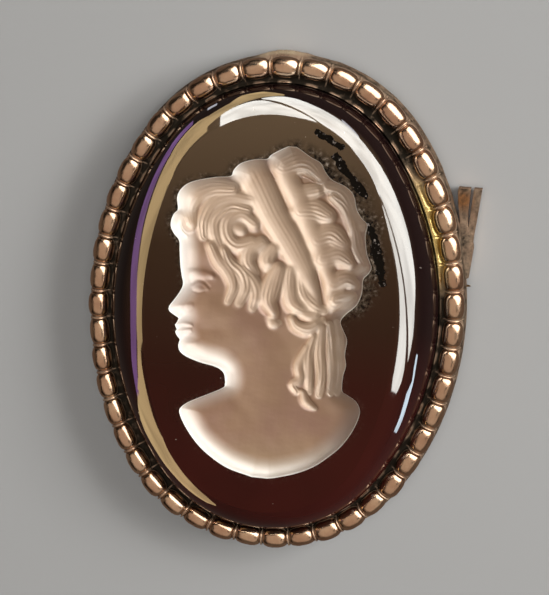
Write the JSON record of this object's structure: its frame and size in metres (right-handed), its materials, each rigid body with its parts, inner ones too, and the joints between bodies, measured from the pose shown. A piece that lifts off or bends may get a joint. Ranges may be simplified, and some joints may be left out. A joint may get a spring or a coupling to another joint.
{
  "type": "oval cameo brooch",
  "caption": "Oval brooch: a dark mirror glass with a frosted bust of a lady in profile sunk into its face, held in a cast metal frame with a beaded border and a pin behind.",
  "frame": {"origin": "on the surface that the brooch lies on, straight below the middle of the oval glass", "axes": "+Z out of the face of the glass, +Y to the top of the bust's head, +X to the side of the catch"},
  "size_m": [0.0349, 0.0455, 0.0061],
  "materials": {
    "cast_metal": "old rose-gold coloured cast metal, polished on the beads and dark in the grooves",
    "mirror_glass": "opaque dark brown mirror glass, polished, with a frosted sunk figure",
    "pin_metal": "plain gilt wire, slightly dull"
  },
  "bodies": {
    "root": {"frame": "cast_metal", "glass": "mirror_glass", "pin": "pin_metal"}
  },
  "joints": []
}
